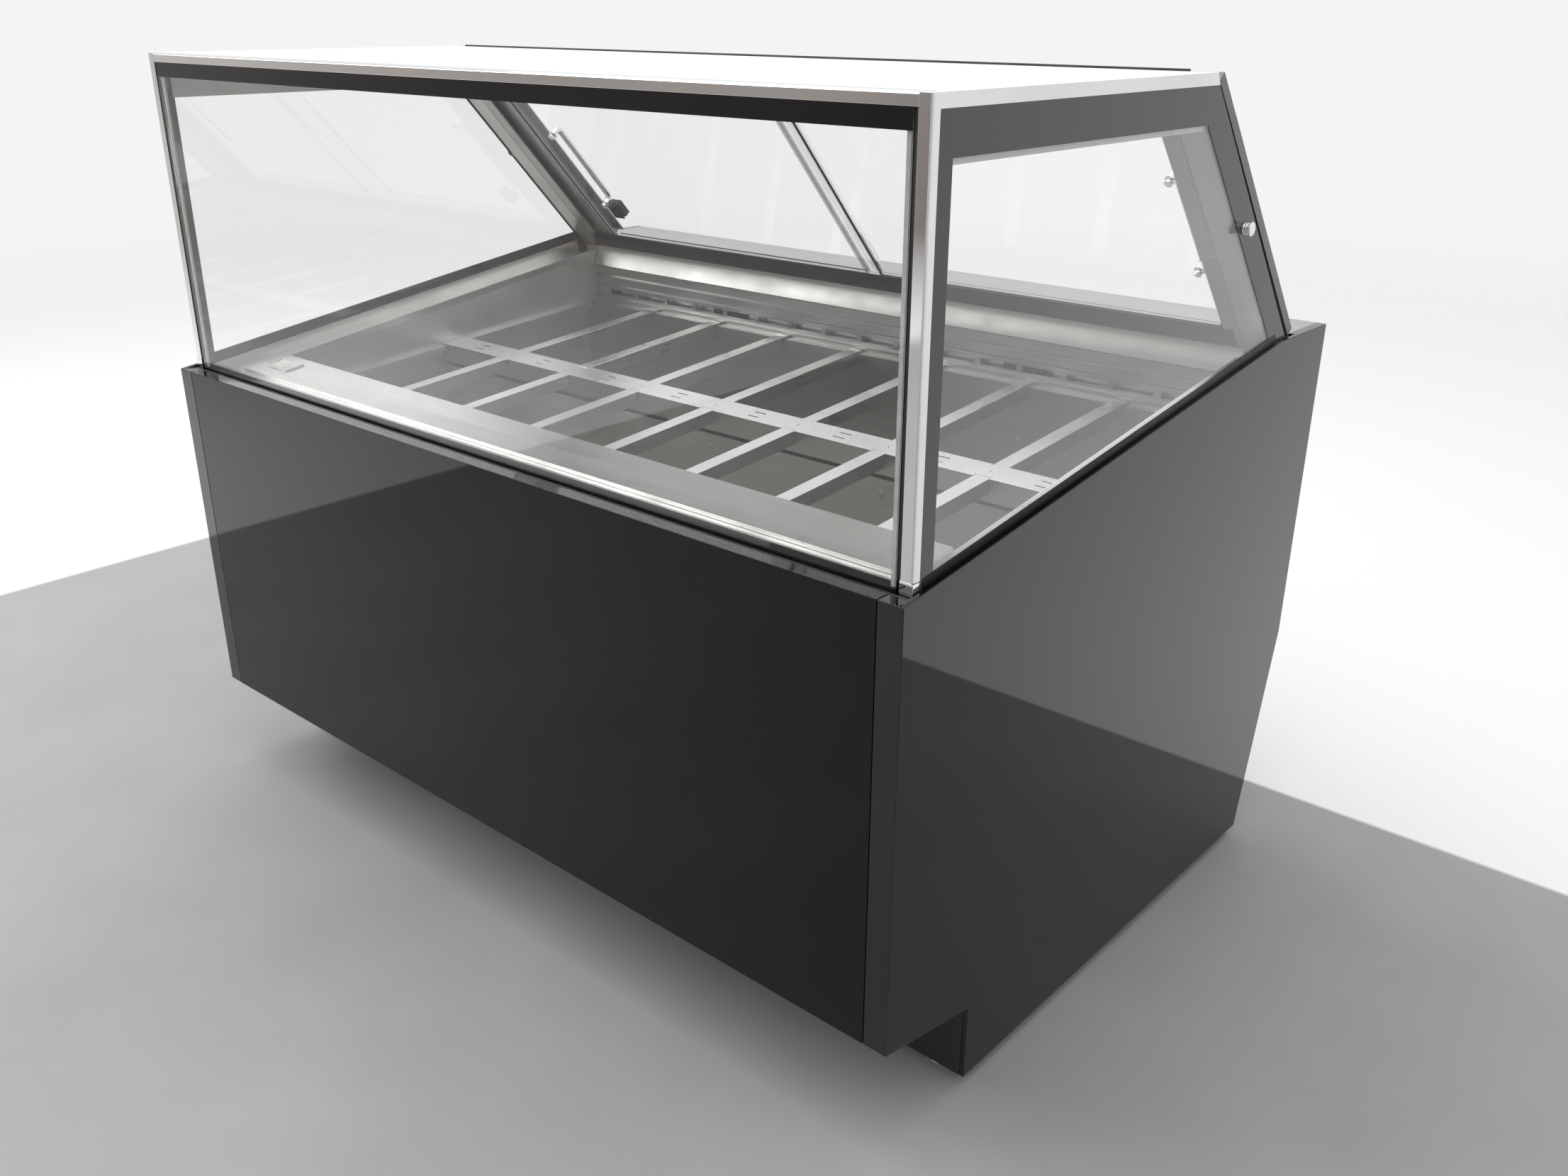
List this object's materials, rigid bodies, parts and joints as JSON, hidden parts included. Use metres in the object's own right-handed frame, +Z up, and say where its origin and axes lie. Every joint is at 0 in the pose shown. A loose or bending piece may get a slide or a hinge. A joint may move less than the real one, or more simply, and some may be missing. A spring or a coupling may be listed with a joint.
{
  "type": "ice cream dipping cabinet",
  "caption": "Ice cream dipping cabinet: black body, sloping stainless well with a grid for two rows of pans, glass canopy and sliding rear doors.",
  "frame": {"origin": "on the floor, under the centre of the bounding box", "axes": "+X to the right as a customer sees the front, +Y from the customer's side to the server's, +Z up"},
  "size_m": [1.5102, 1.0516, 1.227],
  "materials": {
    "gloss_black_panel": "high-gloss black powder coat",
    "matt_black_metal": "satin black paint",
    "grey_painted_metal": "satin grey paint",
    "white_metal": "satin white lacquer",
    "stainless_steel": "brushed stainless steel",
    "polished_metal": "polished",
    "galvanised_steel": "plain mill finish",
    "copper_pipe": "drawn copper",
    "clear_glass": "clear tempered glass with green edges",
    "clear_plastic": "clear plastic",
    "border_print": "dark grey enamel print on glass",
    "black_rubber": "soft black seal",
    "white_plastic": "satin moulded plastic",
    "black_plastic": "satin moulded plastic",
    "lamp_diffuser": "frosted diffuser",
    "insulation_foam": "foamed-in-place insulation"
  },
  "bodies": {
    "cabinet": {"base_frame": "matt_black_metal", "levelling_feet": "white_plastic", "plinth_front": "matt_black_metal", "front_panel": "gloss_black_panel", "side_panel_left": "gloss_black_panel", "side_panel_right": "gloss_black_panel", "rear_panel": "grey_painted_metal", "rear_grille": "grey_painted_metal", "rear_worktop": "stainless_steel", "insulation_tub": "insulation_foam", "tub_liner": "stainless_steel", "well_rim": "stainless_steel", "front_sill": "stainless_steel", "sill_vent": "stainless_steel", "glass_gasket": "black_rubber", "centre_bar": "stainless_steel", "centre_partition": "stainless_steel", "pan_dividers": "stainless_steel", "rear_duct": "stainless_steel", "evaporator": "galvanised_steel", "drain_pipe": "stainless_steel", "compressor": "matt_black_metal", "condenser": "galvanised_steel", "condenser_fan_shroud": "grey_painted_metal", "refrigerant_line": "copper_pipe", "electric_box": "grey_painted_metal", "power_inlet": "black_plastic", "control_panel": "black_plastic", "top_panel": "white_metal", "top_front_profile": "polished_metal", "corner_profile_left": "polished_metal", "corner_profile_right": "polished_metal", "side_trims": "white_metal", "front_glass": "clear_glass", "side_glass_left": "clear_glass", "side_glass_right": "clear_glass", "glass_borders": "border_print", "rear_posts": "grey_painted_metal", "rear_header": "grey_painted_metal", "door_track": "matt_black_metal", "lamp_bar": "lamp_diffuser"},
    "left_door": {"left_door_glass": "clear_glass", "left_door_stile": "grey_painted_metal", "left_door_handle": "polished_metal", "centre_seal": "clear_plastic", "door_lock": "matt_black_metal"},
    "lock_cylinder": {"lock_cylinder": "polished_metal"},
    "right_door": {"right_door_glass": "clear_glass", "right_door_stile": "grey_painted_metal", "right_door_handle": "polished_metal"},
    "side_knob_left": {"side_knob_left": "polished_metal"},
    "side_knob_right": {"side_knob_right": "polished_metal"},
    "evaporator_fan_left": {"evaporator_fan_left": "black_plastic"},
    "evaporator_fan_right": {"evaporator_fan_right": "black_plastic"},
    "condenser_fan": {"condenser_fan": "black_plastic"},
    "button_up": {"controller_button_up": "white_plastic"},
    "button_down": {"controller_button_down": "white_plastic"},
    "button_set": {"controller_button_set": "white_plastic"},
    "power_switch": {"power_switch": "black_plastic"},
    "light_switch": {"light_switch": "black_plastic"}
  },
  "joints": [
    {"name": "left_door_slide", "type": "slide", "parent": "cabinet", "child": "left_door", "axis": [1, 0, 0], "range_m": [0, 0.6]},
    {"name": "right_door_slide", "type": "slide", "parent": "cabinet", "child": "right_door", "axis": [-1, 0, 0], "range_m": [0, 0.6]},
    {"name": "lock_turn", "type": "hinge", "parent": "left_door", "child": "lock_cylinder", "pos_m": [-0.568, 0.30384, 0.92973], "axis": [0, 0.7431, 0.6691], "range_deg": [0, 90]},
    {"name": "side_knob_left_turn", "type": "hinge", "parent": "cabinet", "child": "side_knob_left", "pos_m": [-0.741, 0.199, 1.034], "axis": [-1, 0, 0], "range_deg": [0, 360]},
    {"name": "side_knob_right_turn", "type": "hinge", "parent": "cabinet", "child": "side_knob_right", "pos_m": [0.741, 0.199, 1.034], "axis": [1, 0, 0], "range_deg": [0, 360]},
    {"name": "evaporator_fan_left_spin", "type": "hinge", "parent": "cabinet", "child": "evaporator_fan_left", "pos_m": [-0.33, 0.38, 0.76], "axis": [0, 1, 0], "continuous": true},
    {"name": "evaporator_fan_right_spin", "type": "hinge", "parent": "cabinet", "child": "evaporator_fan_right", "pos_m": [0.33, 0.38, 0.76], "axis": [0, 1, 0], "continuous": true},
    {"name": "condenser_fan_spin", "type": "hinge", "parent": "cabinet", "child": "condenser_fan", "pos_m": [-0.38, 0.273, 0.215], "axis": [0, 1, 0], "continuous": true},
    {"name": "button_up_press", "type": "slide", "parent": "cabinet", "child": "button_up", "axis": [0, -1, 0], "range_m": [0, 0.001], "stiffness_N_per_m": 600},
    {"name": "button_down_press", "type": "slide", "parent": "cabinet", "child": "button_down", "axis": [0, -1, 0], "range_m": [0, 0.001], "stiffness_N_per_m": 600},
    {"name": "button_set_press", "type": "slide", "parent": "cabinet", "child": "button_set", "axis": [0, -1, 0], "range_m": [0, 0.001], "stiffness_N_per_m": 600},
    {"name": "power_switch_rock", "type": "hinge", "parent": "cabinet", "child": "power_switch", "pos_m": [0.564, 0.52, 0.785], "axis": [1, 0, 0], "range_deg": [0, 24]},
    {"name": "light_switch_rock", "type": "hinge", "parent": "cabinet", "child": "light_switch", "pos_m": [0.606, 0.52, 0.785], "axis": [1, 0, 0], "range_deg": [0, 24]}
  ]
}
